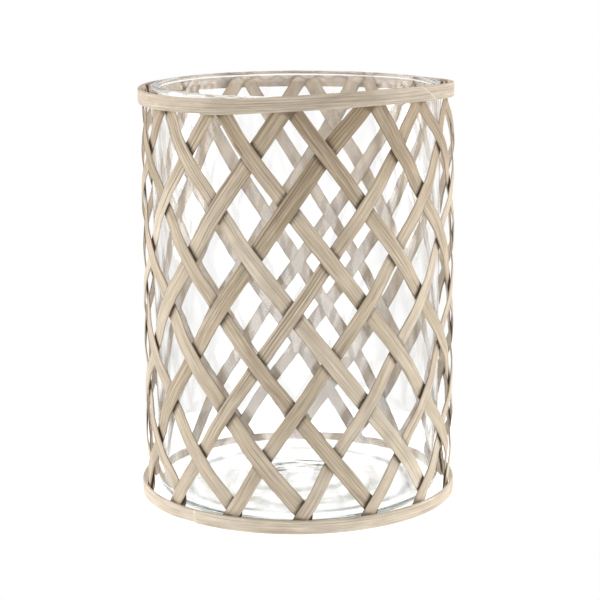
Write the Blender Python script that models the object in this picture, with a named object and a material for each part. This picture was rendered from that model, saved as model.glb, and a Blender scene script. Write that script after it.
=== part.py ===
"""Glass hurricane in a woven bamboo sleeve.

A clear glass cylinder stands inside an open sleeve of crossed bamboo splints, which are glued
at both ends inside a bamboo hoop. Metres, +Z up. The origin is on the table, at the middle of
the base. Angles are measured from the front (-Y) towards +X.
"""

import math

import bmesh
import bpy
from mathutils import Vector

# Driving dimensions of the sleeve.
BASE_RADIUS = 0.0893
TOP_RADIUS = 0.0872
SLEEVE_HEIGHT = 0.2300
HOOP_THICKNESS = 0.0022
BASE_HOOP_HEIGHT = 0.0072
TOP_HOOP_HEIGHT = 0.0078
# The top hoop was set by hand: it dips on the left of the front and climbs on the right.
TOP_HOOP_WAVE = 0.0043
# The base hoop lies flat on the table.
BASE_HOOP_WAVE = 0.0

# Driving dimensions of the weave. A falling splint goes down to the right as seen from outside,
# a rising one down to the left.
FALLING = 1
RISING = -1
SPLINTS_PER_SIDE = 14
SPLINT_THICKNESS = 0.0009
ROWS = 8
ROW_PITCH = 0.02685
LOWEST_ROW_HEIGHT = 0.0121
FIRST_SPLINT_ANGLE = math.radians(-3.0)
# The crossings creep round the sleeve towards the base, by this much at the lowest row.
WEAVE_TWIST = math.radians(4.2)
# A falling splint leans a little more than a rising one: this much more round at the lowest row.
EXTRA_LEAN = math.radians(3.4)
# How far a splint's middle stands out or in as it passes over or under another.
WEAVE_DEPTH = 0.00075
# Share of a row for which a splint stays out or in at each crossing, either side of it.
CROSSING_HALF_LENGTH = 0.22
# Share of a row that a splint's level-cut end takes up.
END_CUT_LENGTH = 0.15
# The weave bows out between the hoops, more near its top and on its right.
SWELL = 0.0020
SWELL_AT_FOOT = 0.5
SWELL_AT_TOP = 1.1
SWELL_TO_THE_RIGHT = 0.0009
SWELL_START = 0.024
# Every splint was split and laid by hand. These are its width in millimetres, and how many
# degrees round to the right it sits from its even place at its top, middle and foot.
FALLING_SPLINTS = (
    (8.2, -0.4, -0.4, -0.4), (9.1, 2.2, 0.9, -4.1), (7.8, 2.0, -0.1, -5.7), (8.4, 3.2, -0.1, -5.6),
    (7.6, 4.4, -1.1, -4.0), (8.0, 1.1, -2.0, -5.5), (8.7, 3.0, -3.2, -4.4), (7.9, 1.1, -2.9, -1.8),
    (8.5, 2.3, -2.7, -2.5), (8.8, -1.7, -3.8, -3.8), (9.2, -3.7, -3.7, -3.7),
    (8.3, -3.7, -3.7, -3.7), (8.8, -2.3, -2.3, -2.3), (8.4, -1.0, -1.0, -1.0),
)
RISING_SPLINTS = (
    (9.0, 0.8, 0.8, 0.8), (9.2, 0.1, 0.1, 0.1), (7.6, 1.6, 1.6, 1.6), (7.7, 0.6, 0.6, 0.6),
    (7.3, -0.6, -0.6, -0.6), (7.0, 0.9, 0.9, 0.9), (7.9, -2.2, 1.6, -0.7), (8.6, -2.5, 1.3, 1.2),
    (7.2, -2.4, 2.3, -0.5), (8.1, 1.1, 3.1, 3.9), (7.5, 2.2, 1.1, 0.4), (8.8, -2.2, -2.4, -1.3),
    (7.7, 0.5, -2.2, -3.1), (7.2, 0.0, 0.0, 0.0),
)
# Ends that were pushed aside at their hoop, by side and place in the table, in degrees to the right.
PUSH_ROWS = 1.1
TOP_PUSHES = {(FALLING, 1): 3.6, (RISING, 1): 3.4}
FOOT_PUSHES = {(RISING, 3): 1.5, (RISING, 4): 2.4}
# How much of the way behind the rising splint's foot a falling splint's foot is turned in.
FOOT_TURN_IN = 0.75

# Driving dimensions of the glass.
GLASS_RADIUS = 0.0800
GLASS_HEIGHT = 0.2323
GLASS_WALL = 0.0030
GLASS_FLOOR = 0.0045
HEEL_RADIUS = 0.0110
FOOT_RING_WIDTH = 0.0110
PUNT_DEPTH = 0.0015
INNER_CORNER_RADIUS = 0.0060

# Gap that touching pieces keep, and the gap between a splint's end and the edge of a hoop.
TOUCH_GAP = 0.0004
END_GAP = 0.0006

HOOP_SEGMENTS = 96
GLASS_SEGMENTS = 72
ARC_STEPS = 6
SMOOTH_ANGLE = math.radians(35.0)

MEETING_STEPS = 4
SPLINT_STEP = 2.0 * math.pi / SPLINTS_PER_SIDE
TOP_ROW_HEIGHT = LOWEST_ROW_HEIGHT + ROWS * ROW_PITCH

TOP_HOOP_COLOR = (0.60, 0.50, 0.37, 1.0)
BASE_HOOP_COLOR = (0.68, 0.58, 0.44, 1.0)
FALLING_COLOR = (0.58, 0.48, 0.35, 1.0)
RISING_COLOR = (0.62, 0.52, 0.38, 1.0)
GLASS_COLOR = (0.92, 0.97, 0.95, 1.0)


def clear_scene():
    """Remove every object that is in the file."""
    for old in list(bpy.data.objects):
        bpy.data.objects.remove(old, do_unlink=True)


def smooth(low, high, value):
    """Smooth step from 0 at low to 1 at high."""
    share = min(max((value - low) / (high - low), 0.0), 1.0)
    return share * share * (3.0 - 2.0 * share)


def mix(first, second, share):
    """Value that lies a share of the way from first to second."""
    return first + (second - first) * share


def bamboo(name, color):
    """Dry, dull bamboo in one colour."""
    material = bpy.data.materials.new(name)
    material.use_nodes = True
    shader = material.node_tree.nodes["Principled BSDF"]
    shader.inputs["Base Color"].default_value = color
    shader.inputs["Roughness"].default_value = 0.7
    shader.inputs["Metallic"].default_value = 0.0
    return material


def clear_glass(name):
    """Clear soda glass."""
    material = bpy.data.materials.new(name)
    material.use_nodes = True
    shader = material.node_tree.nodes["Principled BSDF"]
    shader.inputs["Base Color"].default_value = GLASS_COLOR
    shader.inputs["Roughness"].default_value = 0.03
    shader.inputs["Metallic"].default_value = 0.0
    shader.inputs["Transmission Weight"].default_value = 1.0
    shader.inputs["IOR"].default_value = 1.5
    return material


def finish_object(name, work, material):
    """Turn a finished bmesh into a named, smooth-shaded object."""
    bmesh.ops.recalc_face_normals(work, faces=work.faces)
    mesh = bpy.data.meshes.new(name)
    work.to_mesh(mesh)
    work.free()
    mesh.shade_smooth()
    mesh.set_sharp_from_angle(angle=SMOOTH_ANGLE)
    mesh.materials.append(material)
    made = bpy.data.objects.new(name, mesh)
    bpy.context.scene.collection.objects.link(made)
    return made


def around(radius, angle, height):
    """Point at a radius, an angle from the front and a height."""
    return Vector((radius * math.sin(angle), -radius * math.cos(angle), height))


def sleeve_radius(height):
    """Outer radius of the slightly tapered sleeve."""
    return BASE_RADIUS + (TOP_RADIUS - BASE_RADIUS) * height / SLEEVE_HEIGHT


def hoop_offset(wave, angle):
    """How far a hoop with this wave stands above or below its mean height."""
    frontness = (1.0 + math.cos(angle)) / 2.0
    return wave * math.sin(angle) * frontness**2


def hoop(name, radius, low, high, wave, material):
    """Flat bamboo band bent to a ring, between two heights, with a wave in its height."""
    section = (
        (radius - HOOP_THICKNESS, low),
        (radius, low),
        (radius, high),
        (radius - HOOP_THICKNESS, high),
    )
    work = bmesh.new()
    rings = []
    for index in range(HOOP_SEGMENTS):
        angle = 2.0 * math.pi * index / HOOP_SEGMENTS
        rise = hoop_offset(wave, angle)
        rings.append([work.verts.new(around(r, angle, z + rise)) for r, z in section])
    for index, ring in enumerate(rings):
        following = rings[(index + 1) % HOOP_SEGMENTS]
        for corner in range(4):
            after = (corner + 1) % 4
            work.faces.new((ring[corner], following[corner], following[after], ring[after]))
    return finish_object(name, work, material)


def hand_shift(side, index, row):
    """How far round to the right of its even place a splint was laid, at a row."""
    splints = FALLING_SPLINTS if side == FALLING else RISING_SPLINTS
    _, top, middle, foot = splints[index % SPLINTS_PER_SIDE]
    down = 2.0 * row / ROWS - 1.0
    bend = (top + foot) / 2.0 - middle
    return math.radians(middle + (foot - top) / 2.0 * down + bend * down**2)


def end_push(side, index, row):
    """How far round to the right a splint's end was pushed at its hoop."""
    place = (side, index % SPLINTS_PER_SIDE)
    at_top = 1.0 - smooth(0.0, PUSH_ROWS, row)
    at_foot = smooth(ROWS - PUSH_ROWS, ROWS, row)
    return math.radians(TOP_PUSHES.get(place, 0.0) * at_top + FOOT_PUSHES.get(place, 0.0) * at_foot)


def laid_angle(side, index, row):
    """Angle of a splint's middle line at a row, as it was woven. side is FALLING or RISING."""
    even = FIRST_SPLINT_ANGLE + SPLINT_STEP * (index + side * row / 2.0)
    twist = WEAVE_TWIST * (row / ROWS) ** 2
    lean = EXTRA_LEAN * row / ROWS if side == FALLING else 0.0
    return even + hand_shift(side, index, row) + end_push(side, index, row) + twist + lean


def splint_angle(side, index, row):
    """Angle of a splint's middle line. Below the last crossing the falling one hides its foot."""
    angle = laid_angle(side, index, row)
    if side == FALLING:
        turned_in = FOOT_TURN_IN * smooth(ROWS - 0.1, ROWS + 0.25, row)
        angle = mix(angle, laid_angle(RISING, index + ROWS, row), turned_in)
    return angle


def meeting_row(side, index, row):
    """Where a splint really crosses the one that it meets near a whole row."""
    partner = index + side * row
    place = float(row)
    for _ in range(MEETING_STEPS):
        ahead = laid_angle(side, index, place) - laid_angle(-side, partner, place)
        place -= side * ahead / SPLINT_STEP
    return place


def weave_level(side, row):
    """1 where a splint passes over at a whole row, -1 where it passes under."""
    falling_is_over = row % 2 == 1
    return 1.0 if falling_is_over == (side == FALLING) else -1.0


def splint_stations(side, index):
    """Rows at which the splint's middle line is fixed, each with its level, from the top down."""
    top_angle = splint_angle(side, index, 0.0)
    top_height = SLEEVE_HEIGHT + hoop_offset(TOP_HOOP_WAVE, top_angle) - END_GAP
    stations = [((TOP_ROW_HEIGHT - top_height) / ROW_PITCH, weave_level(side, 0))]
    for row in range(ROWS + 1):
        crossing = meeting_row(side, index, row)
        level = weave_level(side, row)
        for place in (crossing - CROSSING_HALF_LENGTH, crossing, crossing + CROSSING_HALF_LENGTH):
            if place > stations[-1][0] + END_CUT_LENGTH:
                stations.append((place, level))
    foot = (TOP_ROW_HEIGHT - END_GAP) / ROW_PITCH
    stations = [station for station in stations if station[0] < foot - END_CUT_LENGTH]
    stations.append((foot, weave_level(side, ROWS)))
    return stations


def swell(angle, height):
    """How far the weave bows out between the hoops."""
    up = smooth(0.0, SWELL_START, height - BASE_HOOP_HEIGHT)
    down = smooth(0.0, SWELL_START, SLEEVE_HEIGHT - TOP_HOOP_HEIGHT - height)
    even = SWELL * mix(SWELL_AT_FOOT, SWELL_AT_TOP, height / SLEEVE_HEIGHT)
    return up * down * (even + SWELL_TO_THE_RIGHT * math.sin(angle))


def middle_radius(angle, height, level):
    """Radius of a splint's middle line, just clear of the hoops when it is out."""
    outermost = sleeve_radius(height) - HOOP_THICKNESS - TOUCH_GAP + swell(angle, height)
    return outermost - SPLINT_THICKNESS / 2.0 - WEAVE_DEPTH * (1.0 - level)


def splint(name, side, index, width, material):
    """Thin split of bamboo that winds down the sleeve, over and under the others."""
    stations = splint_stations(side, index)
    middles = []
    for row, level in stations:
        height = TOP_ROW_HEIGHT - ROW_PITCH * row
        angle = splint_angle(side, index, row)
        middles.append((middle_radius(angle, height, level), angle, height))
    work = bmesh.new()
    rings = []
    last = len(middles) - 1
    for place, (radius, angle, height) in enumerate(middles):
        before = around(*middles[max(place - 1, 0)])
        after = around(*middles[min(place + 1, last)])
        outward = around(1.0, angle, 0.0)
        along = (after - before).normalized()
        across = outward.cross(along).normalized()
        # The ends are cut level, in line with the hoops.
        if place in (0, last):
            level_across = outward.cross(Vector((0.0, 0.0, 1.0)))
            across = level_across / across.dot(level_across)
        ring = []
        for sideways, out in ((-1, -1), (1, -1), (1, 1), (-1, 1)):
            corner = around(radius, angle, height)
            corner += across * (sideways * width / 2.0)
            corner += outward * (out * SPLINT_THICKNESS / 2.0)
            ring.append(work.verts.new(corner))
        rings.append(ring)
    for upper, lower in zip(rings, rings[1:]):
        for corner in range(4):
            after = (corner + 1) % 4
            work.faces.new((upper[corner], upper[after], lower[after], lower[corner]))
    work.faces.new(rings[0])
    work.faces.new(reversed(rings[-1]))
    return finish_object(name, work, material)


def arc(center, radius, start, end, steps):
    """Points on a round corner of a turned profile, as (radius, height)."""
    points = []
    for step in range(steps + 1):
        turn = math.radians(start + (end - start) * step / steps)
        points.append((center[0] + radius * math.cos(turn), center[1] + radius * math.sin(turn)))
    return points


def glass_profile():
    """Half section of the glass, from the middle of its underside round to the inner floor."""
    foot_outer = GLASS_RADIUS - HEEL_RADIUS
    foot_inner = foot_outer - FOOT_RING_WIDTH
    rim_radius = GLASS_WALL / 2.0
    inner_radius = GLASS_RADIUS - GLASS_WALL
    heel = (foot_outer, HEEL_RADIUS)
    rim = (GLASS_RADIUS - rim_radius, GLASS_HEIGHT - rim_radius)
    corner = (inner_radius - INNER_CORNER_RADIUS, GLASS_FLOOR + INNER_CORNER_RADIUS)
    profile = [(0.0, PUNT_DEPTH), (foot_inner / 2.0, PUNT_DEPTH * 0.75), (foot_inner, 0.0)]
    profile += arc(heel, HEEL_RADIUS, -90.0, 0.0, ARC_STEPS)
    profile += arc(rim, rim_radius, 0.0, 180.0, ARC_STEPS)
    profile += arc(corner, INNER_CORNER_RADIUS, 0.0, -90.0, ARC_STEPS)
    profile.append((0.0, GLASS_FLOOR))
    return profile


def glass_cylinder(material):
    """Straight-sided glass with a thick floor, open at the top."""
    work = bmesh.new()
    profile = glass_profile()
    bottom = work.verts.new((0.0, 0.0, profile[0][1]))
    floor = work.verts.new((0.0, 0.0, profile[-1][1]))
    columns = []
    for index in range(GLASS_SEGMENTS):
        angle = 2.0 * math.pi * index / GLASS_SEGMENTS
        columns.append([work.verts.new(around(r, angle, z)) for r, z in profile[1:-1]])
    for index, column in enumerate(columns):
        following = columns[(index + 1) % GLASS_SEGMENTS]
        work.faces.new((bottom, following[0], column[0]))
        work.faces.new((floor, column[-1], following[-1]))
        for low in range(len(column) - 1):
            high = low + 1
            work.faces.new((column[low], following[low], following[high], column[high]))
    return finish_object("glass_cylinder", work, material)


def build():
    clear_scene()
    clear = clear_glass("clear_glass")
    glass_cylinder(clear)

    base_finish = bamboo("base_hoop_bamboo", BASE_HOOP_COLOR)
    hoop("base_hoop", BASE_RADIUS, 0.0, BASE_HOOP_HEIGHT, BASE_HOOP_WAVE, base_finish)

    top_finish = bamboo("top_hoop_bamboo", TOP_HOOP_COLOR)
    top_low = SLEEVE_HEIGHT - TOP_HOOP_HEIGHT
    hoop("top_hoop", TOP_RADIUS, top_low, SLEEVE_HEIGHT, TOP_HOOP_WAVE, top_finish)

    families = (
        ("falling_splint", FALLING, FALLING_SPLINTS, FALLING_COLOR),
        ("rising_splint", RISING, RISING_SPLINTS, RISING_COLOR),
    )
    for family, side, splints, color in families:
        for index, (width, *_) in enumerate(splints):
            name = f"{family}_{index + 1:02d}"
            finish = bamboo(f"{name}_bamboo", color)
            splint(name, side, index, width / 1000.0, finish)


build()
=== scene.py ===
import math
import random

import bmesh
import bpy
from mathutils import Matrix, Vector, noise


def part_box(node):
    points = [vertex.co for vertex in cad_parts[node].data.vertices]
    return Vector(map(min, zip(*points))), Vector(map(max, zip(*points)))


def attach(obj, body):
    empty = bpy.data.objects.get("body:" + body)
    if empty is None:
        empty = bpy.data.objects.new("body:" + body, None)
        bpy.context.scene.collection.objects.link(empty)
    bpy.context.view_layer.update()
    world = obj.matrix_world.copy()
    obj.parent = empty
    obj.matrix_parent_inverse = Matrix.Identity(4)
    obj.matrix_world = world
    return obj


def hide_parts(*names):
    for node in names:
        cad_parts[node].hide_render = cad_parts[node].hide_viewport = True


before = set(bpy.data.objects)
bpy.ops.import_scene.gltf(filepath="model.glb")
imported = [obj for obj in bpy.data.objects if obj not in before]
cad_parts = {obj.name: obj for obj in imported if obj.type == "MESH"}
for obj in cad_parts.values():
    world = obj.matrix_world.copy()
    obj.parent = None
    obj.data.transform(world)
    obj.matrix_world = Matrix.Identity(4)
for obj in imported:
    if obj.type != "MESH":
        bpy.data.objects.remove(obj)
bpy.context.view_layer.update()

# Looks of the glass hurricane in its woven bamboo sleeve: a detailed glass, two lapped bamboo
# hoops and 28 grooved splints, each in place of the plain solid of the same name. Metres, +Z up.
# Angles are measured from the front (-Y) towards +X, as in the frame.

MM = 0.001

# Sizes read from the frame.
BASE_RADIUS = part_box("base_hoop")[1].x
BASE_HOOP_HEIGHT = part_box("base_hoop")[1].z
TOP_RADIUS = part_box("top_hoop")[1].x
GLASS_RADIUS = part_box("glass_cylinder")[1].x
GLASS_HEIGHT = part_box("glass_cylinder")[1].z

# The weave's rule, the same as the frame's.
SLEEVE_HEIGHT = 0.2300
TOP_HOOP_HEIGHT = 0.0078
TOP_HOOP_WAVE = 0.0043
BASE_HOOP_WAVE = 0.0
HOOP_THICKNESS = 0.0022
SPLINTS_PER_SIDE = 14
SPLINT_THICKNESS = 0.0009
ROWS = 8
ROW_PITCH = 0.02685
LOWEST_ROW_HEIGHT = 0.0121
FIRST_SPLINT_ANGLE = math.radians(-3.0)
WEAVE_TWIST = math.radians(4.2)
EXTRA_LEAN = math.radians(3.4)
WEAVE_DEPTH = 0.00075
CROSSING_HALF_LENGTH = 0.22
TOUCH_GAP = 0.0004
END_GAP = 0.0006
FALLING = 1
RISING = -1
MEETING_STEPS = 4
SPLINT_STEP = 2.0 * math.pi / SPLINTS_PER_SIDE
TOP_ROW_HEIGHT = LOWEST_ROW_HEIGHT + ROWS * ROW_PITCH
# Each splint's width in millimetres, and how many degrees round to the right it sits from its
# even place at its top, middle and foot, the same numbers as in part.py. They were fitted to the
# photograph by a scratch program, which the rules for this script don't allow: see report.md.
FALLING_SPLINTS = (
    (8.2, -0.4, -0.4, -0.4), (9.1, 2.2, 0.9, -4.1), (7.8, 2.0, -0.1, -5.7), (8.4, 3.2, -0.1, -5.6),
    (7.6, 4.4, -1.1, -4.0), (8.0, 1.1, -2.0, -5.5), (8.7, 3.0, -3.2, -4.4), (7.9, 1.1, -2.9, -1.8),
    (8.5, 2.3, -2.7, -2.5), (8.8, -1.7, -3.8, -3.8), (9.2, -3.7, -3.7, -3.7),
    (8.3, -3.7, -3.7, -3.7), (8.8, -2.3, -2.3, -2.3), (8.4, -1.0, -1.0, -1.0),
)
RISING_SPLINTS = (
    (9.0, 0.8, 0.8, 0.8), (9.2, 0.1, 0.1, 0.1), (7.6, 1.6, 1.6, 1.6), (7.7, 0.6, 0.6, 0.6),
    (7.3, -0.6, -0.6, -0.6), (7.0, 0.9, 0.9, 0.9), (7.9, -2.2, 1.6, -0.7), (8.6, -2.5, 1.3, 1.2),
    (7.2, -2.4, 2.3, -0.5), (8.1, 1.1, 3.1, 3.9), (7.5, 2.2, 1.1, 0.4), (8.8, -2.2, -2.4, -1.3),
    (7.7, 0.5, -2.2, -3.1), (7.2, 0.0, 0.0, 0.0),
)
# Ends that were pushed aside at their hoop, by side and place in the table, in degrees to the right.
PUSH_ROWS = 1.1
TOP_PUSHES = {(FALLING, 1): 3.6, (RISING, 1): 3.4}
FOOT_PUSHES = {(RISING, 3): 1.5, (RISING, 4): 2.4}
# How much of the way behind the rising splint's foot a falling splint's foot is turned in.
FOOT_TURN_IN = 0.75

# Detail of the splints.
SPLINT_STATIONS = 170
OUTER_POINTS = 21
INNER_POINTS = 6
CROWN = 0.10 * MM
FIBRE_DEPTH = 0.05 * MM
EDGE_DROP = 0.16 * MM
EDGE_ROUGHNESS = 0.10 * MM
EDGE_ROUGHNESS_ROWS = 0.12
# Fibres across half a splint, and how often they change along a row.
FIBRES_ACROSS = 9.0
FIBRE_CHANGES = 1.6
# Slow drifts along a splint: how much, and over how many rows.
WANDER = 0.0022
WANDER_ROWS = 2.6
WIDTH_CHANGE = 0.05
WIDTH_CHANGE_ROWS = 2.2
TONE_CHANGE = 0.25
TONE_CHANGE_ROWS = 1.7
TONE_RANGE = (-0.25, 0.25)
GROOVE_DEPTH = 0.26 * MM
GROOVE_SHARE = 0.08
GROOVE_FADE = 0.4
GROOVE_WANDER = 0.05
GROOVE_WANDER_ROWS = 1.3
# The faint grooves that each splint gets at random.
FAINT_GROOVE_COUNT = (2, 4)
FAINT_GROOVE_START = (-2.0, 7.0)
FAINT_GROOVE_LENGTH = (1.5, 6.0)
FAINT_GROOVE_PLACE = (-0.85, 0.85)
FAINT_GROOVE_STRENGTH = (0.15, 0.5)
# The dark raw edge of a splint, as shares of its half width, and how dark it is.
RAW_EDGE = (0.84, 0.97)
RAW_EDGE_DARKNESS = 0.45
RAW_EDGE_CHANGE = 0.35
RAW_EDGE_CHANGE_ROWS = 0.9
# Painted shade: how far the dark painted shade reaches past the edge of a splint that passes over, how
# far it reaches from a hoop, and how dark it is there.
CROSSING_SHADE_REACH = 2.8 * MM
CONTACT_REACH = 1.6 * MM
HOOP_SHADE_STRENGTH = 0.75
LEVEL_CUT_ROWS = 0.55
# Painted shade: the splints are painted darker near the top hoop, for the shade there.
UPPER_PAINTED_SHADE = -1.3
UPPER_PAINTED_SHADE_ROWS = 3.0

# The weave bows out between the hoops, more near its top and on its right.
SWELL = 2.0 * MM
SWELL_AT_FOOT = 0.5
SWELL_AT_TOP = 1.1
SWELL_TO_THE_RIGHT = 0.9 * MM
SWELL_START = 24.0 * MM

# Grooves, as (place across in half widths, first row, last row, depth from 0 to 1).
MARKED_GROOVES = {
    "rising_splint_02": ((-0.62, -0.5, 3.4, 1.0), (-0.30, -0.5, 2.6, 0.8), (0.05, -0.5, 1.7, 0.7),
                         (0.55, 0.2, 2.2, 0.5)),
    "rising_splint_03": ((-0.55, 2.6, 6.4, 0.8), (-0.15, 3.0, 6.0, 0.9), (0.30, 2.8, 5.4, 0.7)),
    "rising_splint_01": ((-0.78, -0.2, 3.0, 1.0), (0.35, 1.5, 4.0, 0.4)),
    "rising_splint_14": ((-0.25, -0.5, 2.0, 0.7), (0.30, -0.5, 2.4, 0.9)),
    "falling_splint_13": ((0.10, -0.4, 4.5, 0.6), (0.45, 0.5, 5.0, 0.5)),
    "falling_splint_14": ((-0.65, 0.66, 1.04, 1.0), (-0.50, 0.74, 1.0, 0.8), (0.20, 1.0, 4.0, 0.3)),
    "falling_splint_01": ((-0.35, -0.4, 1.2, 0.7), (0.50, -0.4, 3.0, 0.4)),
}
TONES = {
    "rising_splint_02": -0.7, "falling_splint_01": -0.3, "falling_splint_14": 0.1,
    "falling_splint_13": 0.7, "falling_splint_12": -0.3, "rising_splint_05": 0.4,
    "rising_splint_04": -0.2, "rising_splint_14": 0.6,
}

# Detail of the hoops.
HOOP_FACE_POINTS = 30
HOOP_INNER_POINTS = 6
HOOP_STATION = math.radians(1.0)
HOOP_CORNER = 0.35 * MM
# The hoops' laps: how their strips thin and step in where one end lies over the other.
TIP_LENGTH = math.radians(14.0)
TUCK_LENGTH = math.radians(6.0)
TAIL_LENGTH = math.radians(30.0)
OUTER_MARGIN = 0.10 * MM
TIP_RISE = 0.10 * MM
TAIL_DROP_IN = 1.05 * MM
LAPPED_THICKNESS = 1.90 * MM
OVERLAP_THINNING = 0.95 * MM
TAIL_STEP_IN = 0.25 * MM
# Along the tip's cut edge the grooves fade out and a painted highlight lightens the strip: over what
# turn, and how much.
CUT_EDGE_LENGTH = math.radians(1.2)
TIP_EDGE_HIGHLIGHT = 2.5
DEGREES_PER_PLACE = 20.0
HOOP_CORNER_SHARPNESS = 14
HOOP_FIBRES_ACROSS = 11.0
# Slow drifts round a hoop: how much, and over what turn.
HOOP_TONE_CHANGE = 0.2
HOOP_TONE_TURN = 0.8
HOOP_EDGE_TURN = 0.6

# The glass: its sizes, the same as the frame's, and its detail.
GLASS_WALL = 0.0030
GLASS_FLOOR = 0.0045
HEEL_RADIUS = 0.0110
FOOT_RING_WIDTH = 0.0110
PUNT_DEPTH = 0.0015
INNER_CORNER_RADIUS = 0.0060
GLASS_SEGMENTS = 256
ARC_STEPS = 24
WALL_STEPS = 44
FLOOR_STEPS = 44
RIM_SWELL = 0.25 * MM
# The rim was cut a little low at the front.
RIM_DIP = 3.0 * MM
RIM_DIP_START = 0.15
# Painted refraction: a faint ring painted on the underside, in place of what the glass shows there by
# refraction; its radius and width.
PAINTED_RING_RADIUS = 63.0 * MM
PAINTED_RING_WIDTH = 4.5 * MM
# Its ripples: how far, and how closely they follow each other in a metre.
WALL_RIPPLE = 0.04 * MM
FLOOR_RIPPLE = 0.12 * MM
FLOOR_RINGS = 620.0
RIM_RIPPLE = 0.25 * MM
RIPPLED_FLOOR_EDGE = (0.055, 0.066)

# Colours of the bamboo, from its dark streaks to its light ones.
FALLING_COLORS = ((0.35, 0.265, 0.175, 1.0), (0.60, 0.50, 0.375, 1.0), (0.78, 0.69, 0.56, 1.0))
RISING_COLORS = ((0.37, 0.285, 0.185, 1.0), (0.61, 0.51, 0.385, 1.0), (0.79, 0.70, 0.575, 1.0))
TOP_HOOP_COLORS = ((0.36, 0.285, 0.195, 1.0), (0.58, 0.49, 0.385, 1.0), (0.74, 0.655, 0.55, 1.0))
BASE_HOOP_COLORS = ((0.45, 0.36, 0.25, 1.0), (0.68, 0.585, 0.465, 1.0), (0.81, 0.73, 0.62, 1.0))
PITH_DARK = (0.37, 0.305, 0.255, 1.0)
PITH_LIGHT = (0.52, 0.42, 0.32, 1.0)
GROOVE_COLOR = (0.16, 0.115, 0.07, 1.0)
# Colour of the painted shade where a splint dives under another or under a hoop.
CONTACT_SHADE_COLOR = (0.075, 0.048, 0.026, 1.0)
# How fully the pith, the grooves and the painted shade at crossings and hoops hide the bamboo's own
# colour.
PITH_COVER = 0.75
GROOVE_COVER = 0.75
CONTACT_SHADE_COVER = 0.93
# Sizes of the bamboo's grain, across the strip and along it.
STREAK_SIZE = (0.75 * MM, 38.0 * MM)
FIBRE_SIZE = (0.22 * MM, 9.0 * MM)
PATCH_SIZE = (7.0 * MM, 16.0 * MM)
GRAIN_RELIEF = 0.25 * MM
# Colours of the glass.
WHITE = (1.0, 1.0, 1.0, 1.0)
# Painted refraction: colours of the ring and the swirls painted under the base.
PAINTED_RING_COLOR = (0.13, 0.17, 0.175, 1.0)
PAINTED_SWIRL_COLOR = (0.22, 0.25, 0.165, 1.0)
GLASS_GREEN = (0.70, 0.93, 0.80, 1.0)

# Camera, lights and floor.
CAMERA_DISTANCE = 0.95
CAMERA_HEIGHT = 0.2987
CAMERA_TILT = math.radians(11.34)
CAMERA_TURN = math.radians(0.10)
CAMERA_ROLL = math.radians(0.30)
CAMERA_LENS = 102.8
FRONT_GLOW = 0.54
BACK_GLOW = 1.10
# Where the surroundings change, as the y or z of a direction.
GLOW_BAND = (-0.7, 0.5)
MIRRORED_FRONT_BAND = (-0.6, -0.2)
MIRRORED_TABLE_BAND = (-0.30, -0.10)
SOFTBOX_POWER = 6.5
SOFTBOX_SIDE = 1.1
SOFTBOX_SIZE = (0.9, 1.1)
# Brightness in mirrored views: level with the object in front, and down at the table there.
MIRRORED_FRONT = 1.0
MIRRORED_TABLE = 4.8
FLOOR_RADIUS = 0.18
FLOOR_STEPS_ROUND = 96
FLOOR_GAP = 0.0001
FLOOR_GLOW = 0.85
# Light meets the walls of the glass many times before it comes out of its base.
GLASS_BOUNCES = 24


def smooth(low, high, value):
    """Smooth step from 0 at low to 1 at high."""
    share = min(max((value - low) / (high - low), 0.0), 1.0)
    return share * share * (3.0 - 2.0 * share)


def mix(first, second, share):
    """Value that lies a share of the way from first to second."""
    return first + (second - first) * share


def drift(seed, place, length):
    """Slow random drift between about -1 and 1, with one swing in each length."""
    return 1.4 * noise.noise(Vector((place / length, 7.31 * seed, 0.37)))


def around(radius, angle, height):
    """Point at a radius, an angle from the front and a height."""
    return Vector((radius * math.sin(angle), -radius * math.cos(angle), height))


def link_new(name, mesh):
    """Put a mesh in the scene as a new object."""
    made = bpy.data.objects.new(name, mesh)
    bpy.context.scene.collection.objects.link(made)
    return made


def paint(mesh, name, values):
    """Store one number for each vertex under a name that a material can read."""
    layer = mesh.attributes.new(name, "FLOAT", "POINT")
    layer.data.foreach_set("value", values)


def map_grain(mesh, across, along):
    """Lay the grain map over a mesh: metres across the strip and metres along it."""
    layer = mesh.uv_layers.new(name="grain")
    corners = []
    for loop in mesh.loops:
        corners.append(across[loop.vertex_index])
        corners.append(along[loop.vertex_index])
    layer.data.foreach_set("uv", corners)


def face_outward(mesh):
    """Turn every face of a closed mesh outwards."""
    shape = bmesh.new()
    shape.from_mesh(mesh)
    bmesh.ops.recalc_face_normals(shape, faces=shape.faces)
    shape.to_mesh(mesh)
    shape.free()


def strip_mesh(name, rings):
    """Closed mesh through rings of points. A ring is a list of (point, across, along, paints)."""
    count = len(rings[0])
    points = [entry[0] for ring in rings for entry in ring]
    faces = []
    for upper in range(len(rings) - 1):
        start = upper * count
        for corner in range(count):
            after = (corner + 1) % count
            faces.append((start + corner, start + after, start + count + after, start + count + corner))
    faces.append(tuple(reversed(range(count))))
    faces.append(tuple(range((len(rings) - 1) * count, len(rings) * count)))
    mesh = bpy.data.meshes.new(name)
    mesh.from_pydata(points, [], faces)
    map_grain(mesh, [e[1] for r in rings for e in r], [e[2] for r in rings for e in r])
    for place, label in enumerate(("tone", "groove", "contact_shade", "inside")):
        paint(mesh, label, [e[3][place] for r in rings for e in r])
    face_outward(mesh)
    mesh.shade_smooth()
    mesh.set_sharp_from_angle(angle=math.radians(60.0))
    return mesh


# The weave.

def sleeve_radius(height):
    """Outer radius of the slightly tapered sleeve."""
    return BASE_RADIUS + (TOP_RADIUS - BASE_RADIUS) * height / SLEEVE_HEIGHT


def hoop_offset(wave, angle):
    """How far a hoop stands above or below its mean height. wave is the most that it does."""
    frontness = (1.0 + math.cos(angle)) / 2.0
    return wave * math.sin(angle) * frontness**2


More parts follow.
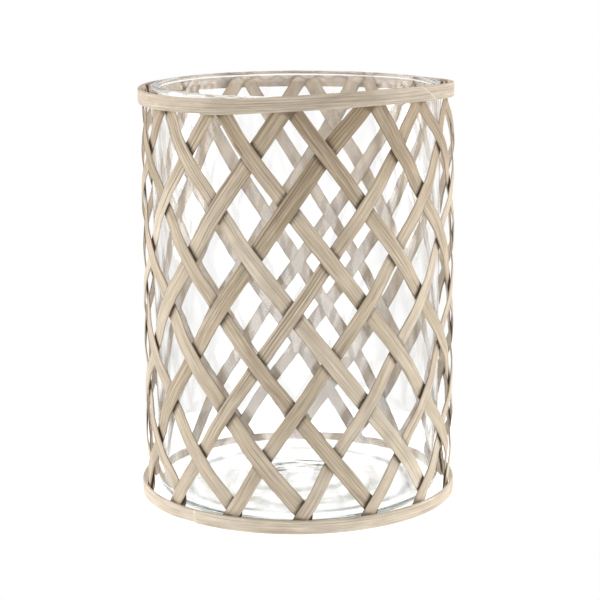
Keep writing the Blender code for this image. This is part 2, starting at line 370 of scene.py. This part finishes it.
def hand_shift(side, index, row):
    """How far round to the right of its even place a splint was laid, at a row."""
    splints = FALLING_SPLINTS if side == FALLING else RISING_SPLINTS
    _, top, middle, foot = splints[index % SPLINTS_PER_SIDE]
    down = 2.0 * row / ROWS - 1.0
    bend = (top + foot) / 2.0 - middle
    return math.radians(middle + (foot - top) / 2.0 * down + bend * down**2)


def end_push(side, index, row):
    """How far round to the right a splint's end was pushed at its hoop."""
    place = (side, index % SPLINTS_PER_SIDE)
    at_top = 1.0 - smooth(0.0, PUSH_ROWS, row)
    at_foot = smooth(ROWS - PUSH_ROWS, ROWS, row)
    return math.radians(TOP_PUSHES.get(place, 0.0) * at_top + FOOT_PUSHES.get(place, 0.0) * at_foot)


def laid_angle(side, index, row):
    """Angle of a splint's middle line at a row, as it was woven. side is FALLING or RISING."""
    even = FIRST_SPLINT_ANGLE + SPLINT_STEP * (index + side * row / 2.0)
    twist = WEAVE_TWIST * (row / ROWS) ** 2
    lean = EXTRA_LEAN * row / ROWS if side == FALLING else 0.0
    return even + hand_shift(side, index, row) + end_push(side, index, row) + twist + lean


def splint_angle(side, index, row):
    """Angle of a splint's middle line. Below the last crossing the falling one hides its foot."""
    angle = laid_angle(side, index, row)
    if side == FALLING:
        turned_in = FOOT_TURN_IN * smooth(ROWS - 0.1, ROWS + 0.25, row)
        angle = mix(angle, laid_angle(RISING, index + ROWS, row), turned_in)
    return angle


def meeting_row(side, index, row):
    """Where a splint really crosses the one that it meets near a whole row."""
    partner = index + side * row
    place = float(row)
    for _ in range(MEETING_STEPS):
        ahead = laid_angle(side, index, place) - laid_angle(-side, partner, place)
        place -= side * ahead / SPLINT_STEP
    return place


def weave_level(side, row):
    """1 where a splint passes over at a whole row, -1 where it passes under."""
    falling_is_over = row % 2 == 1
    return 1.0 if falling_is_over == (side == FALLING) else -1.0


def partner_width(side, index, row):
    """Width of the splint that this one meets at a row."""
    others = RISING_SPLINTS if side == FALLING else FALLING_SPLINTS
    return others[(index + side * row) % SPLINTS_PER_SIDE][0] * MM


def level_at(crossings, row):
    """How far out a splint lies at any row, from 1 to -1, smooth between its crossings."""
    for upper, lower in zip(crossings, crossings[1:]):
        if row < lower[0]:
            start = upper[0] + CROSSING_HALF_LENGTH
            share = smooth(start, lower[0] - CROSSING_HALF_LENGTH, row)
            return mix(upper[1], lower[1], share)
    return crossings[-1][1]


def swell(angle, height):
    """How far the weave bows out between the hoops."""
    up = smooth(0.0, SWELL_START, height - BASE_HOOP_HEIGHT)
    down = smooth(0.0, SWELL_START, SLEEVE_HEIGHT - TOP_HOOP_HEIGHT - height)
    even = SWELL * mix(SWELL_AT_FOOT, SWELL_AT_TOP, height / SLEEVE_HEIGHT)
    return up * down * (even + SWELL_TO_THE_RIGHT * math.sin(angle))


def middle_radius(angle, height, level):
    """Radius of a splint's middle line."""
    outermost = sleeve_radius(height) - HOOP_THICKNESS - TOUCH_GAP + swell(angle, height)
    return outermost - SPLINT_THICKNESS / 2.0 - WEAVE_DEPTH * (1.0 - level)


def splint_grooves(name, chance):
    """The splint's marked grooves, and a few faint ones at random."""
    grooves = list(MARKED_GROOVES.get(name, ()))
    for _ in range(chance.randint(*FAINT_GROOVE_COUNT)):
        start = chance.uniform(*FAINT_GROOVE_START)
        length = chance.uniform(*FAINT_GROOVE_LENGTH)
        place = chance.uniform(*FAINT_GROOVE_PLACE)
        grooves.append((place, start, start + length, chance.uniform(*FAINT_GROOVE_STRENGTH)))
    return grooves


def groove_depth(grooves, seed, row, share):
    """Depth from 0 to 1 of the grooves at a place on a strip. share runs from -1 to 1 across."""
    depth = 0.0
    for number, (middle, start, end, strength) in enumerate(grooves):
        fade = min(GROOVE_FADE, (end - start) / 3.0)
        inside = smooth(start, start + fade, row) * (1.0 - smooth(end - fade, end, row))
        if inside <= 0.0:
            continue
        wander = GROOVE_WANDER * drift(seed + number, row, GROOVE_WANDER_ROWS)
        away = (share - middle - wander) / GROOVE_SHARE
        depth = max(depth, inside * strength * math.exp(-away * away))
    return depth


def edge_line(share, seed, row):
    """Darkness from 0 to 1 of the raw split edge of a splint, which comes and goes."""
    change = drift(seed + math.copysign(0.9, share), row, RAW_EDGE_CHANGE_ROWS)
    strength = RAW_EDGE_DARKNESS + RAW_EDGE_CHANGE * change
    return max(strength, 0.0) * smooth(*RAW_EDGE, abs(share))


def section_shares():
    """Places round a splint's section: across from -1 to 1, and True on the outer face."""
    outer = [(-1.0 + 2.0 * place / (OUTER_POINTS - 1), True) for place in range(OUTER_POINTS)]
    inner = [(1.0 - 2.0 * place / (INNER_POINTS - 1), False) for place in range(INNER_POINTS)]
    return outer + inner


def splint_piece(family, side, index, width, material):
    """One hand-split splint, grooved along its length, in place of its plain solid."""
    name = f"{family}_{index + 1:02d}"
    seed = index + (0.0 if side == FALLING else 20.0)
    chance = random.Random(name)
    grooves = splint_grooves(name, chance)
    tone = TONES.get(name, chance.uniform(*TONE_RANGE))
    crossings = [(meeting_row(side, index, row), weave_level(side, row)) for row in range(ROWS + 1)]
    top_height = SLEEVE_HEIGHT + hoop_offset(TOP_HOOP_WAVE, splint_angle(side, index, 0.0)) - END_GAP
    first_row = (TOP_ROW_HEIGHT - top_height) / ROW_PITCH
    last_row = (TOP_ROW_HEIGHT - END_GAP) / ROW_PITCH
    half_step = sleeve_radius(SLEEVE_HEIGHT / 2.0) * SPLINT_STEP / 2.0
    row_length = math.hypot(half_step, ROW_PITCH)
    lean = math.atan2(half_step, ROW_PITCH)

    def middle(row):
        height = TOP_ROW_HEIGHT - ROW_PITCH * row
        angle = splint_angle(side, index, row) + WANDER * drift(seed, row, WANDER_ROWS)
        return middle_radius(angle, height, level_at(crossings, row)), angle, height

    def painted_shade_at(row, sideways):
        """Painted shade where the splint dives under another, along the other one's edge, and where it
        goes under a hoop.
        """
        _, angle, height = middle(row)
        above_base = height - BASE_HOOP_HEIGHT
        below_top = SLEEVE_HEIGHT - TOP_HOOP_HEIGHT + hoop_offset(TOP_HOOP_WAVE, angle) - height
        hoop_shade = HOOP_SHADE_STRENGTH * (1.0 - smooth(0.0, CONTACT_REACH, min(above_base, below_top)))
        nearest = min(range(ROWS + 1), key=lambda place: abs(crossings[place][0] - row))
        if crossings[nearest][1] > 0.0:
            return hoop_shade
        past = (row - crossings[nearest][0]) * row_length * math.sin(2.0 * lean)
        distance = abs(past + side * sideways * math.cos(2.0 * lean))
        outside = distance - partner_width(side, index, nearest) / 2.0
        return max(hoop_shade, 1.0 - smooth(0.0, CROSSING_SHADE_REACH, outside))

    frames = {}

    def frame_at(row):
        """A point of the middle line, and the ways outward and across there."""
        if row not in frames:
            here = around(*middle(row))
            ahead = around(*middle(row + 0.02))
            outward = around(1.0, middle(row)[1], 0.0)
            frames[row] = (here, outward, outward.cross(ahead - here).normalized())
        return frames[row]

    rings = []
    for station in range(SPLINT_STATIONS + 1):
        row = mix(first_row, last_row, station / SPLINT_STATIONS)
        from_end = min(row - first_row, last_row - row)
        level_share = 1.0 - smooth(0.0, LEVEL_CUT_ROWS, from_end)
        climb = frame_at(row)[2].z / ROW_PITCH
        half = width / 2.0 * (1.0 + WIDTH_CHANGE * drift(seed + 0.3, row, WIDTH_CHANGE_ROWS))
        ring = []
        for share, is_outer in section_shares():
            sideways = share * half
            if abs(share) > 0.99:
                sideways += EDGE_ROUGHNESS * drift(seed + share, row, EDGE_ROUGHNESS_ROWS)
            place = row + level_share * climb * sideways
            here, outward, across = frame_at(place)
            depth = 0.0
            if is_outer:
                depth = groove_depth(grooves, seed, place, share)
                fibre = noise.noise(Vector((share * FIBRES_ACROSS + seed, place * FIBRE_CHANGES, seed)))
                out = SPLINT_THICKNESS / 2.0 - CROWN * share * share - EDGE_DROP * share**12
                out += FIBRE_DEPTH * fibre - GROOVE_DEPTH * depth
            else:
                out = -SPLINT_THICKNESS / 2.0 + EDGE_DROP * share**8
            point = here + across * sideways + outward * out
            # Painted shade at crossings and hoops, on the outer face only.
            contact_shade = painted_shade_at(place, sideways) if is_outer else 0.0
            shade = tone + TONE_CHANGE * drift(seed + 0.7, row, TONE_CHANGE_ROWS)
            # Painted shade: darker towards the top hoop.
            shade += UPPER_PAINTED_SHADE * (1.0 - smooth(0.0, UPPER_PAINTED_SHADE_ROWS, row))
            dark = max(depth, edge_line(share, seed, row))
            inside = 0.0 if is_outer else 1.0
            paints = (shade, dark, contact_shade, inside)
            ring.append((point, sideways + seed, row * row_length + seed, paints))
        rings.append(ring)
    piece = link_new(f"{name}_bamboo", strip_mesh(name, rings))
    piece.data.materials.append(material)
    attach(piece, "sleeve")
    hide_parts(name)
    return piece


# The hoops.

def lapped_hoop(name, radius, low, height, wave, lap):
    """Strip bent to a ring with its tail tucked under its tip. lap says where and how."""
    total = 2.0 * math.pi + lap["overlap"]
    steps = round(total / HOOP_STATION)
    rings = []
    for step in range(steps + 1):
        turned = total * step / steps
        tip = 1.0 - smooth(0.0, TIP_LENGTH, turned)
        over = 1.0 - smooth(lap["overlap"] - TUCK_LENGTH, lap["overlap"] + TUCK_LENGTH, turned)
        tail = smooth(2.0 * math.pi - 2.0 * TUCK_LENGTH, 2.0 * math.pi, turned)
        tail_end = smooth(total - TAIL_LENGTH, total, turned)
        outer = radius - OUTER_MARGIN + TIP_RISE * over - TAIL_DROP_IN * tail
        inner = radius - LAPPED_THICKNESS + OVERLAP_THINNING * over - TAIL_STEP_IN * tail
        cut = 1.0 - smooth(0.0, CUT_EDGE_LENGTH, turned)
        place = math.degrees(turned) / DEGREES_PER_PLACE
        ring = []
        for share, is_outer in hoop_section():
            level = (share + 1.0) / 2.0
            slant = tip * lap["slant"] * (1.0 - 2.0 * level)
            angle = lap["tip_angle"] - lap["way"] * turned + slant
            rounding = HOOP_CORNER * abs(share) ** HOOP_CORNER_SHARPNESS
            depth = 0.0
            if is_outer:
                depth = groove_depth(lap["grooves"], lap["seed"], place, share)
                fibre = noise.noise(Vector((share * HOOP_FIBRES_ACROSS, place, lap["seed"])))
                reach = outer - rounding - lap["depth"] * depth + FIBRE_DEPTH * fibre
            else:
                reach = inner + rounding / 2.0
            rise = hoop_offset(wave, angle) - lap["tail_drop"] * tail_end
            rise += lap["unevenness"] * drift(lap["seed"], turned, HOOP_EDGE_TURN) * level
            shade = HOOP_TONE_CHANGE * drift(lap["seed"] + 0.5, turned, HOOP_TONE_TURN)
            # Painted highlight along the tip's cut edge.
            shade += TIP_EDGE_HIGHLIGHT * cut
            inside = 0.0 if is_outer else lap["inside"]
            paints = (shade, depth * (1.0 - cut), 0.0, inside)
            point = around(reach, angle, low + height * level + rise)
            ring.append((point, share * height / 2.0 + lap["seed"], turned * radius, paints))
        rings.append(ring)
    return link_new(name, strip_mesh(name, rings))


def hoop_section():
    """Places round a hoop's section: height from -1 to 1, and True on the outer face."""
    outer = [(-1.0 + 2.0 * place / (HOOP_FACE_POINTS - 1), True) for place in range(HOOP_FACE_POINTS)]
    inner = [(1.0 - 2.0 * place / (HOOP_INNER_POINTS - 1), False) for place in range(HOOP_INNER_POINTS)]
    return outer + inner


def top_hoop(material):
    """The grooved top hoop, with its slanted tip on the right of the front."""
    lap = {
        "tip_angle": math.radians(54.0), "way": 1.0, "overlap": math.radians(89.0),
        "slant": math.radians(4.7), "tail_drop": 0.9 * MM, "depth": 0.15 * MM, "seed": 41.0,
        "unevenness": 0.1 * MM, "inside": 1.0,
        "grooves": (
            (-0.66, -1.0, 3.6, 0.3), (-0.38, -1.0, 4.3, 0.35), (-0.12, -1.0, 4.6, 0.5),
            (0.08, -1.0, 3.4, 0.35), (0.30, 0.3, 4.6, 0.5), (0.52, 1.0, 3.9, 0.3),
            (0.72, 1.2, 4.4, 0.25), (-0.40, 8.0, 17.0, 0.3), (0.30, 9.0, 18.0, 0.4),
        ),
    }
    low = SLEEVE_HEIGHT - TOP_HOOP_HEIGHT
    piece = lapped_hoop("top_hoop_bamboo", TOP_RADIUS, low, TOP_HOOP_HEIGHT, TOP_HOOP_WAVE, lap)
    piece.data.materials.append(material)
    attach(piece, "sleeve")
    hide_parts("top_hoop")


def base_hoop(material):
    """The smoother base hoop, with its square tip on the left of the front."""
    lap = {
        "tip_angle": math.radians(-39.0), "way": -1.0, "overlap": math.radians(40.0),
        "slant": math.radians(0.3), "tail_drop": 0.0, "depth": 0.12 * MM, "seed": 57.0,
        "unevenness": 0.0, "inside": 0.5,
        "grooves": (
            (0.55, -1.0, 9.0, 0.4), (-0.35, 2.0, 12.0, 0.25), (0.15, 5.0, 16.0, 0.3),
            (-0.7, 0.0, 8.0, 0.3),
        ),
    }
    piece = lapped_hoop("base_hoop_bamboo", BASE_RADIUS, 0.0, BASE_HOOP_HEIGHT, BASE_HOOP_WAVE, lap)
    piece.data.materials.append(material)
    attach(piece, "sleeve")
    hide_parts("base_hoop")


# The glass.

def arc(center, radius, start, end, steps):
    """Points on a round corner of a turned profile, as (radius, height)."""
    points = []
    for step in range(steps + 1):
        turn = math.radians(mix(start, end, step / steps))
        points.append((center[0] + radius * math.cos(turn), center[1] + radius * math.sin(turn)))
    return points


def straight(start, end, steps):
    """Points strictly between two points of a profile."""
    return [
        (mix(start[0], end[0], step / steps), mix(start[1], end[1], step / steps))
        for step in range(1, steps)
    ]


def glass_profile():
    """Half section of the glass, from near the middle of its underside to its inner floor."""
    foot_outer = GLASS_RADIUS - HEEL_RADIUS
    foot_inner = foot_outer - FOOT_RING_WIDTH
    rim_radius = GLASS_WALL / 2.0 + RIM_SWELL
    inner_radius = GLASS_RADIUS - GLASS_WALL
    heel = arc((foot_outer, HEEL_RADIUS), HEEL_RADIUS, -90.0, 0.0, ARC_STEPS)
    rim_middle = (GLASS_RADIUS - rim_radius, GLASS_HEIGHT - rim_radius)
    rim = arc(rim_middle, rim_radius, -20.0, 200.0, 2 * ARC_STEPS)
    corner_middle = (inner_radius - INNER_CORNER_RADIUS, GLASS_FLOOR + INNER_CORNER_RADIUS)
    corner = arc(corner_middle, INNER_CORNER_RADIUS, 0.0, -90.0, ARC_STEPS)
    profile = []
    for radius, _ in straight((0.0, 0.0), (foot_outer, 0.0), FLOOR_STEPS):
        profile.append((radius, PUNT_DEPTH * (1.0 - smooth(0.0, foot_inner, radius))))
    profile += heel
    profile += straight(heel[-1], rim[0], WALL_STEPS)
    profile += rim
    profile += straight(rim[-1], corner[0], WALL_STEPS)
    profile += corner
    profile += straight(corner[-1], (0.0, GLASS_FLOOR), FLOOR_STEPS)
    return profile


def glass_ripple(radius, angle, height):
    """How the pressed glass departs from a true turned shape, outward and upward."""
    side = noise.noise(Vector((3.0 * math.sin(angle), 3.0 * math.cos(angle), height * 30.0)))
    out = WALL_RIPPLE * side * smooth(GLASS_FLOOR, 0.03, height)
    on_floor = 1.0 - smooth(*RIPPLED_FLOOR_EDGE, radius)
    on_floor *= smooth(0.5 * GLASS_FLOOR, 0.9 * GLASS_FLOOR, height)
    swirl = noise.noise(Vector((radius * math.sin(angle) * 40.0, radius * math.cos(angle) * 40.0, 2.0)))
    rings = math.sin(radius * FLOOR_RINGS + 3.0 * swirl)
    up = FLOOR_RIPPLE * on_floor * rings * (0.4 + swirl)
    on_rim = smooth(GLASS_HEIGHT - 0.012, GLASS_HEIGHT - 0.003, height)
    unevenness = noise.noise(Vector((2.0 * math.sin(angle), 2.0 * math.cos(angle), 9.0))) - 0.8
    up += RIM_RIPPLE * on_rim * unevenness
    frontness = (1.0 + math.cos(angle)) / 2.0
    up -= RIM_DIP * frontness * smooth(RIM_DIP_START, GLASS_HEIGHT, height)
    return out, up


def glass_piece(material):
    """The clear glass cylinder, with its rounded rim and its rippled floor."""
    profile = glass_profile()
    points = [Vector((0.0, 0.0, PUNT_DEPTH)), Vector((0.0, 0.0, GLASS_FLOOR))]
    for segment in range(GLASS_SEGMENTS):
        angle = 2.0 * math.pi * segment / GLASS_SEGMENTS
        for radius, height in profile:
            out, up = glass_ripple(radius, angle, height)
            points.append(around(min(radius + out, GLASS_RADIUS), angle, max(height + up, 0.0)))
    count = len(profile)
    faces = []
    for segment in range(GLASS_SEGMENTS):
        here = 2 + segment * count
        there = 2 + (segment + 1) % GLASS_SEGMENTS * count
        faces.append((0, there, here))
        faces.append((1, here + count - 1, there + count - 1))
        for low in range(count - 1):
            faces.append((here + low, there + low, there + low + 1, here + low + 1))
    mesh = bpy.data.meshes.new("glass_cylinder")
    mesh.from_pydata(points, [], faces)
    mesh.shade_smooth()
    piece = link_new("glass_cylinder_clear", mesh)
    piece.data.materials.append(material)
    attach(piece, "glass")
    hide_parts("glass_cylinder")


# Materials.

def add(tree, kind, **settings):
    """Add a node with its settings."""
    node = tree.nodes.new(kind)
    for name, value in settings.items():
        setattr(node, name, value)
    return node


def join(tree, node, socket, source):
    """Feed a node's input from a socket, or set it to a constant."""
    if isinstance(source, bpy.types.NodeSocket):
        tree.links.new(source, node.inputs[socket])
    else:
        node.inputs[socket].default_value = source


def grain_noise(tree, across, along, detail, roughness):
    """Noise stretched along the grain: one swing in each across and along distance."""
    grain = add(tree, "ShaderNodeUVMap", uv_map="grain")
    mapping = add(tree, "ShaderNodeMapping")
    join(tree, mapping, "Vector", grain.outputs["UV"])
    join(tree, mapping, "Scale", (1.0 / across, 1.0 / along, 1.0))
    texture = add(tree, "ShaderNodeTexNoise", noise_dimensions="2D")
    join(tree, texture, "Vector", mapping.outputs["Vector"])
    join(tree, texture, "Scale", 1.0)
    join(tree, texture, "Detail", detail)
    join(tree, texture, "Roughness", roughness)
    return texture.outputs["Fac"]


def painted(tree, name):
    """The number painted on the mesh under a name."""
    return add(tree, "ShaderNodeAttribute", attribute_name=name).outputs["Fac"]


def arithmetic(tree, operation, first, second):
    """Math node on two numbers."""
    node = add(tree, "ShaderNodeMath", operation=operation)
    join(tree, node, 0, first)
    join(tree, node, 1, second)
    return node.outputs["Value"]


def span(tree, value, low, high, new_low, new_high):
    """Carry a value from one range to another, clamped."""
    node = add(tree, "ShaderNodeMapRange")
    join(tree, node, "Value", value)
    join(tree, node, "From Min", low)
    join(tree, node, "From Max", high)
    join(tree, node, "To Min", new_low)
    join(tree, node, "To Max", new_high)
    return node.outputs["Result"]


def blend_colors(tree, factor, first, second, how="MIX"):
    """Mix two colours."""
    node = add(tree, "ShaderNodeMix", data_type="RGBA", blend_type=how)
    join(tree, node, 0, factor)
    join(tree, node, 6, first)
    join(tree, node, 7, second)
    return node.outputs[2]


def blend_numbers(tree, factor, first, second):
    """Mix two numbers."""
    node = add(tree, "ShaderNodeMix", data_type="FLOAT")
    join(tree, node, 0, factor)
    join(tree, node, 2, first)
    join(tree, node, 3, second)
    return node.outputs[0]


def ramp(tree, value, stops):
    """Colour ramp through (place, colour) stops."""
    node = add(tree, "ShaderNodeValToRGB")
    join(tree, node, "Fac", value)
    elements = node.color_ramp.elements
    elements[0].position, elements[1].position = stops[0][0], stops[-1][0]
    elements[0].color, elements[1].color = stops[0][1], stops[-1][1]
    for place, color in stops[1:-1]:
        elements.new(place).color = color
    return node.outputs["Color"]


def bamboo(name, colors):
    """Dry whitewashed bamboo with grain along the strip."""
    material = bpy.data.materials.new(name)
    material.use_nodes = True
    tree = material.node_tree
    shader = tree.nodes["Principled BSDF"]
    streaks = grain_noise(tree, *STREAK_SIZE, 4.0, 0.62)
    fibres = grain_noise(tree, *FIBRE_SIZE, 3.0, 0.6)
    patches = grain_noise(tree, *PATCH_SIZE, 3.0, 0.55)
    grain = blend_numbers(tree, 0.3, streaks, fibres)
    toned = arithmetic(tree, "ADD", grain, arithmetic(tree, "MULTIPLY", painted(tree, "tone"), 0.12))
    color = ramp(tree, toned, tuple(zip((0.30, 0.50, 0.72), colors)))
    worn = span(tree, patches, 0.35, 0.7, 0.90, 1.06)
    color = blend_colors(tree, 1.0, color, worn, "MULTIPLY")
    pith = ramp(tree, patches, ((0.35, PITH_DARK), (0.65, PITH_LIGHT)))
    inside = arithmetic(tree, "MULTIPLY", painted(tree, "inside"), PITH_COVER)
    color = blend_colors(tree, inside, color, pith)
    groove = span(tree, painted(tree, "groove"), 0.1, 0.8, 0.0, GROOVE_COVER)
    color = blend_colors(tree, groove, color, GROOVE_COLOR)
    # Painted shade at crossings and at the hoops darkens the colour here.
    contact_shade = arithmetic(tree, "POWER", painted(tree, "contact_shade"), 1.5)
    contact_shade = arithmetic(tree, "MULTIPLY", contact_shade, CONTACT_SHADE_COVER)
    color = blend_colors(tree, contact_shade, color, CONTACT_SHADE_COLOR)
    join(tree, shader, "Base Color", color)
    join(tree, shader, "Roughness", span(tree, fibres, 0.3, 0.7, 0.52, 0.78))
    join(tree, shader, "Specular IOR Level", 0.25)
    bump = add(tree, "ShaderNodeBump")
    join(tree, bump, "Height", grain)
    join(tree, bump, "Strength", 0.5)
    join(tree, bump, "Distance", GRAIN_RELIEF)
    join(tree, shader, "Normal", bump.outputs["Normal"])
    return material


def painted_refraction_tint(tree, place):
    """White, with a faint blue ring and green swirls painted under the base as painted refraction."""
    flat = add(tree, "ShaderNodeVectorMath", operation="MULTIPLY")
    join(tree, flat, 0, place)
    join(tree, flat, 1, (1.0, 1.0, 0.0))
    length = add(tree, "ShaderNodeVectorMath", operation="LENGTH")
    join(tree, length, 0, flat.outputs["Vector"])
    radius = length.outputs["Value"]
    height = add(tree, "ShaderNodeSeparateXYZ")
    join(tree, height, "Vector", place)
    underneath = span(tree, height.outputs["Z"], 0.4 * GLASS_FLOOR, 0.6 * GLASS_FLOOR, 1.0, 0.0)
    uneven = add(tree, "ShaderNodeTexNoise")
    join(tree, uneven, "Vector", flat.outputs["Vector"])
    join(tree, uneven, "Scale", 40.0)
    join(tree, uneven, "Detail", 1.0)
    from_ring = arithmetic(tree, "SUBTRACT", radius, PAINTED_RING_RADIUS)
    from_ring = arithmetic(tree, "ABSOLUTE", from_ring, 0.0)
    ring = span(tree, from_ring, 0.3 * MM, PAINTED_RING_WIDTH, 1.0, 0.0)
    ring = arithmetic(tree, "MULTIPLY", ring, span(tree, uneven.outputs["Fac"], 0.35, 0.6, 0.4, 1.0))
    rings = add(tree, "ShaderNodeTexWave", wave_type="RINGS", rings_direction="Z")
    join(tree, rings, "Vector", flat.outputs["Vector"])
    join(tree, rings, "Scale", 17.0)
    join(tree, rings, "Distortion", 6.0)
    join(tree, rings, "Detail", 1.0)
    join(tree, rings, "Detail Scale", 1.2)
    swirl = span(tree, rings.outputs["Fac"], 0.30, 0.90, 0.0, 0.9)
    swirl = arithmetic(tree, "MULTIPLY", swirl, span(tree, uneven.outputs["Fac"], 0.30, 0.50, 0.3, 1.0))
    swirl = arithmetic(tree, "MULTIPLY", swirl, span(tree, height.outputs["Y"], -0.030, 0.010, 1.0, 0.15))
    swirl = arithmetic(tree, "MULTIPLY", swirl, span(tree, radius, 0.054, 0.060, 1.0, 0.0))
    ring = arithmetic(tree, "MULTIPLY", ring, underneath)
    swirl = arithmetic(tree, "MULTIPLY", swirl, underneath)
    color = blend_colors(tree, ring, WHITE, PAINTED_RING_COLOR)
    return blend_colors(tree, swirl, color, PAINTED_SWIRL_COLOR)


def clear_glass():
    """Clear soda glass, faintly green where it is thick, with slow waves in its surface."""
    material = bpy.data.materials.new("clear_glass")
    material.use_nodes = True
    tree = material.node_tree
    shader = tree.nodes["Principled BSDF"]
    place = add(tree, "ShaderNodeTexCoord").outputs["Object"]
    waves = add(tree, "ShaderNodeTexNoise")
    join(tree, waves, "Vector", place)
    join(tree, waves, "Scale", 45.0)
    join(tree, waves, "Detail", 2.0)
    bump = add(tree, "ShaderNodeBump")
    join(tree, bump, "Height", waves.outputs["Fac"])
    join(tree, bump, "Strength", 0.12)
    join(tree, bump, "Distance", 0.5 * MM)
    join(tree, shader, "Normal", bump.outputs["Normal"])
    # The base colour carries the painted refraction under the base.
    join(tree, shader, "Base Color", painted_refraction_tint(tree, place))
    join(tree, shader, "Roughness", span(tree, waves.outputs["Fac"], 0.3, 0.7, 0.0, 0.03))
    join(tree, shader, "Transmission Weight", 1.0)
    join(tree, shader, "IOR", 1.5)
    absorption = add(tree, "ShaderNodeVolumeAbsorption")
    join(tree, absorption, "Color", GLASS_GREEN)
    join(tree, absorption, "Density", 2.5)
    output = tree.nodes["Material Output"]
    tree.links.new(absorption.outputs["Volume"], output.inputs["Volume"])
    through = add(tree, "ShaderNodeMixShader")
    join(tree, through, 0, add(tree, "ShaderNodeLightPath").outputs["Is Shadow Ray"])
    join(tree, through, 1, shader.outputs["BSDF"])
    join(tree, through, 2, add(tree, "ShaderNodeBsdfTransparent").outputs["BSDF"])
    tree.links.new(through.outputs["Shader"], output.inputs["Surface"])
    return material


# The stage.

def white_floor():
    """Bright round table top, which is not part of the object."""
    mesh = bpy.data.meshes.new("floor")
    step = 2.0 * math.pi / FLOOR_STEPS_ROUND
    rim = [around(FLOOR_RADIUS, step * number, 0.0) for number in range(FLOOR_STEPS_ROUND)]
    mesh.from_pydata(rim, [], [tuple(range(FLOOR_STEPS_ROUND))])
    floor = link_new("floor", mesh)
    floor.location.z = -FLOOR_GAP
    material = bpy.data.materials.new("white_floor")
    material.use_nodes = True
    shader = material.node_tree.nodes["Principled BSDF"]
    shader.inputs["Base Color"].default_value = (0.50, 0.50, 0.50, 1.0)
    shader.inputs["Roughness"].default_value = 0.9
    shader.inputs["Specular IOR Level"].default_value = 0.1
    shader.inputs["Emission Color"].default_value = (1.0, 1.0, 1.0, 1.0)
    shader.inputs["Emission Strength"].default_value = FLOOR_GLOW
    mesh.materials.append(material)


def studio_world():
    """White surroundings: soft light, more from behind than from the front, and a bright front in
    mirrored views, for the veil that the front of the glass lays over what is behind it."""
    world = bpy.data.worlds.new("studio")
    bpy.context.scene.world = world
    world.use_nodes = True
    tree = world.node_tree
    background = tree.nodes["Background"]
    direction = add(tree, "ShaderNodeSeparateXYZ")
    join(tree, direction, "Vector", add(tree, "ShaderNodeTexCoord").outputs["Generated"])
    light_path = add(tree, "ShaderNodeLightPath")
    glow = span(tree, direction.outputs["Y"], *GLOW_BAND, FRONT_GLOW, BACK_GLOW)
    in_front = span(tree, direction.outputs["Y"], *MIRRORED_FRONT_BAND, 1.0, 0.0)
    below = span(tree, direction.outputs["Z"], *MIRRORED_TABLE_BAND, MIRRORED_TABLE, MIRRORED_FRONT)
    mirrored = blend_numbers(tree, in_front, 1.0, below)
    strength = blend_numbers(tree, light_path.outputs["Is Diffuse Ray"], mirrored, glow)
    strength = blend_numbers(tree, light_path.outputs["Is Camera Ray"], strength, 1.0)
    join(tree, background, "Color", (1.0, 1.0, 1.0, 1.0))
    join(tree, background, "Strength", strength)


def light_paths():
    """Let light bounce in the glass until it comes out, or the base would look black."""
    limits = bpy.context.scene.cycles
    limits.max_bounces = GLASS_BOUNCES
    limits.glossy_bounces = GLASS_BOUNCES
    limits.transmission_bounces = GLASS_BOUNCES


def softbox(name, place, size, power):
    """Large soft light aimed at the middle of the object."""
    light = bpy.data.lights.new(name, "AREA")
    light.shape = "RECTANGLE"
    light.size, light.size_y = size
    light.energy = power
    made = bpy.data.objects.new(name, light)
    bpy.context.scene.collection.objects.link(made)
    made.location = place
    aim = Vector((0.0, 0.0, SLEEVE_HEIGHT / 2.0)) - made.location
    made.rotation_euler = aim.to_track_quat("-Z", "Y").to_euler()


def camera():
    """The photograph's viewpoint, a little above the rim."""
    data = bpy.data.cameras.new("camera")
    data.lens = CAMERA_LENS
    made = bpy.data.objects.new("camera", data)
    bpy.context.scene.collection.objects.link(made)
    made.location = (0.0, -CAMERA_DISTANCE, CAMERA_HEIGHT)
    made.rotation_mode = "XYZ"
    aim = Matrix.Rotation(-CAMERA_TURN, 3, "Z") @ Matrix.Rotation(math.pi / 2.0 - CAMERA_TILT, 3, "X")
    aim = aim @ Matrix.Rotation(-CAMERA_ROLL, 3, "Z")
    made.rotation_euler = aim.to_euler()
    bpy.context.scene.camera = made


def build():
    """Make every piece, then the stage."""
    falling = bamboo("falling_bamboo", FALLING_COLORS)
    rising = bamboo("rising_bamboo", RISING_COLORS)
    for index, (width, *_) in enumerate(FALLING_SPLINTS):
        splint_piece("falling_splint", FALLING, index, width * MM, falling)
    for index, (width, *_) in enumerate(RISING_SPLINTS):
        splint_piece("rising_splint", RISING, index, width * MM, rising)
    top_hoop(bamboo("top_hoop_bamboo", TOP_HOOP_COLORS))
    base_hoop(bamboo("base_hoop_bamboo", BASE_HOOP_COLORS))
    glass_piece(clear_glass())
    camera()
    white_floor()
    studio_world()
    light_paths()
    softbox("left_softbox", (-SOFTBOX_SIDE, 0.1, 0.45), SOFTBOX_SIZE, SOFTBOX_POWER)
    softbox("right_softbox", (SOFTBOX_SIDE, 0.1, 0.45), SOFTBOX_SIZE, SOFTBOX_POWER)
    bpy.context.scene.view_settings.view_transform = "Standard"


build()
